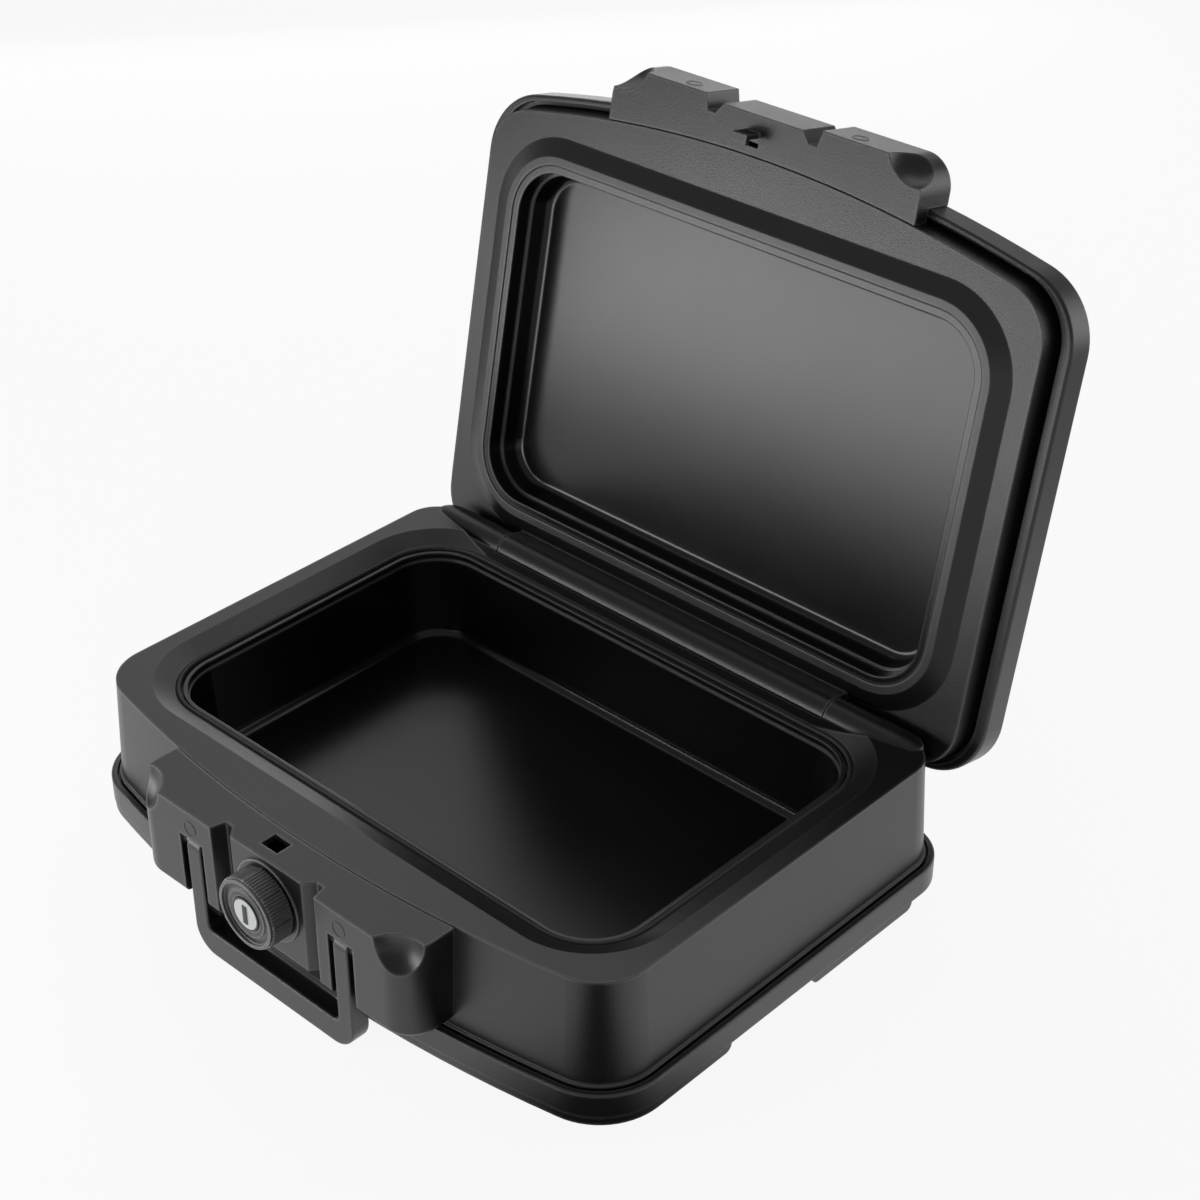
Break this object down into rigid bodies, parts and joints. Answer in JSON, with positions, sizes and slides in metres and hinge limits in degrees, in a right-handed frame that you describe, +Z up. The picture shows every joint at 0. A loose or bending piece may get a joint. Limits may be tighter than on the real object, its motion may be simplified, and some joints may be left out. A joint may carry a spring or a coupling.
{
  "type": "cash box",
  "caption": "Moulded insulated cash box with a hinged lid and tray, turn-knob latch and a swinging carry handle on its bowed front.",
  "frame": {"origin": "on the floor plane of the feet, below the centre of the body's plan", "axes": "+Z up, front with knob and handle towards -Y, +X to the right seen from the front"},
  "size_m": [0.3606, 0.3672, 0.3332],
  "materials": {
    "shell_plastic": "satin",
    "liner_plastic": "satin",
    "knob_plastic": "gloss",
    "cap_silver": "satin",
    "seal_rubber": "matte",
    "foot_rubber": "matte",
    "cast_fill": "matte",
    "steel": "satin"
  },
  "bodies": {
    "base": {"base_shell": "shell_plastic", "base_liner": "liner_plastic", "rim_seal": "seal_rubber", "base_insulation": "cast_fill", "base_pan": "shell_plastic", "rubber_feet": "foot_rubber", "pan_screws": "steel", "lock_housing": "shell_plastic", "housing_screws": "steel", "handle_pins": "steel", "hinge_pins": "steel", "knob_bezel": "knob_plastic", "lock_nut": "steel"},
    "lid": {"lid_shell": "shell_plastic", "lid_liner": "liner_plastic", "lid_insulation": "cast_fill", "lid_cover": "shell_plastic", "lid_housing": "shell_plastic", "lid_housing_screws": "steel"},
    "knob": {"lock_knob": "knob_plastic", "knob_cap": "cap_silver", "knob_spindle": "steel", "latch_cam": "steel", "cam_screw": "steel"},
    "handle": {"carry_handle": "shell_plastic"}
  },
  "joints": [
    {"name": "lid_hinge", "type": "hinge", "parent": "base", "child": "lid", "pos_m": [0, 0.1234, 0.07284], "axis": [1, 0, 0], "range_deg": [0, 101.5]},
    {"name": "handle_swing", "type": "hinge", "parent": "base", "child": "handle", "pos_m": [0, -0.139, 0.0606], "axis": [-1, 0, 0], "range_deg": [0, 90]},
    {"name": "knob_turn", "type": "hinge", "parent": "base", "child": "knob", "pos_m": [0, -0.1416, 0.0582], "axis": [0, -1, 0], "range_deg": [0, 90]}
  ]
}
